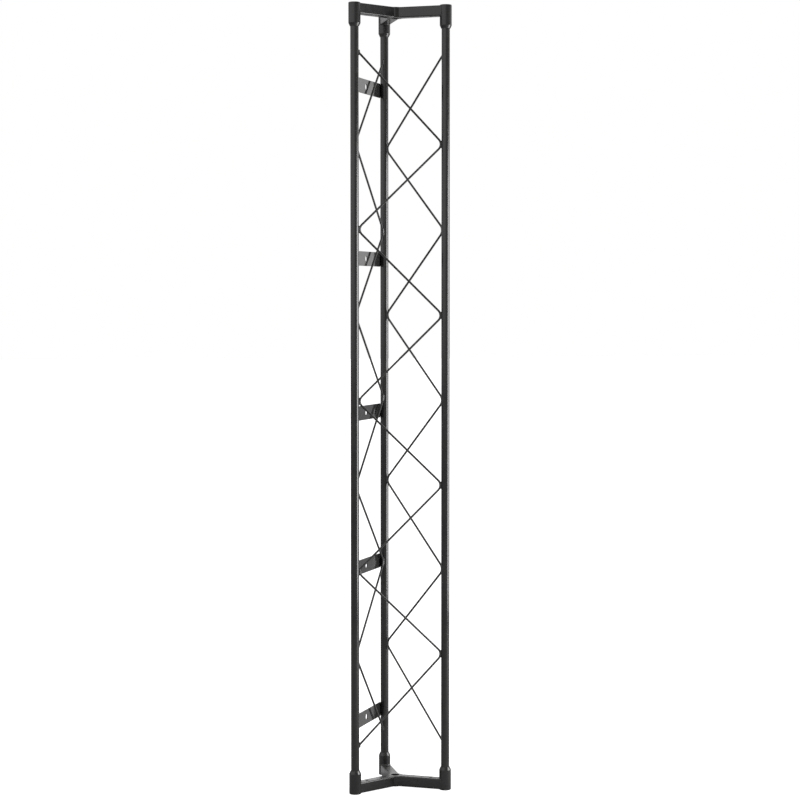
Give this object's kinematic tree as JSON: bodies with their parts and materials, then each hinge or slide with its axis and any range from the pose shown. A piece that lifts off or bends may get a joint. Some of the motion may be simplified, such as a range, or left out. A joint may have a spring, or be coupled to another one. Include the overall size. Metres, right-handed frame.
{
  "type": "lighting truss section",
  "caption": "Straight triangular lighting truss section of steel tube with zigzag rod lacing, Y-shaped bolted end frames and flat mounting plates along one side, painted black.",
  "frame": {"origin": "centre of the lower bolt circle, on the truss axis, in the outer face of the lower arms, which is 1.5 mm above the plane of the lower sockets' mating faces", "axes": "+Z along the truss, lower end to upper end; front face of the lacing towards -Y; the rear chord on +Y; mounting plates on the left face, between left and rear chords"},
  "size_m": [0.199, 0.1754, 1.5],
  "materials": {
    "chord_paint": "semi-gloss",
    "lacing_paint": "semi-gloss",
    "frame_paint": "semi-gloss",
    "plate_paint": "semi-gloss",
    "weld_paint": "semi-gloss"
  },
  "bodies": {
    "root": {"chord_tube_left": "chord_paint", "chord_tube_rear": "chord_paint", "chord_tube_right": "chord_paint", "lacing_rod_front": "lacing_paint", "lacing_rod_left": "lacing_paint", "lacing_rod_right": "lacing_paint", "lacing_welds_front": "weld_paint", "lacing_welds_left": "weld_paint", "lacing_welds_right": "weld_paint", "lower_arm_left": "frame_paint", "lower_arm_rear": "frame_paint", "lower_arm_right": "frame_paint", "lower_frame_welds": "weld_paint", "lower_hub": "frame_paint", "lower_socket_left": "frame_paint", "lower_socket_rear": "frame_paint", "lower_socket_right": "frame_paint", "mounting_plate_1": "plate_paint", "mounting_plate_2": "plate_paint", "mounting_plate_3": "plate_paint", "mounting_plate_4": "plate_paint", "mounting_plate_5": "plate_paint", "plate_welds": "weld_paint", "upper_arm_left": "frame_paint", "upper_arm_rear": "frame_paint", "upper_arm_right": "frame_paint", "upper_frame_welds": "weld_paint", "upper_hub": "frame_paint", "upper_socket_left": "frame_paint", "upper_socket_rear": "frame_paint", "upper_socket_right": "frame_paint"}
  },
  "joints": []
}
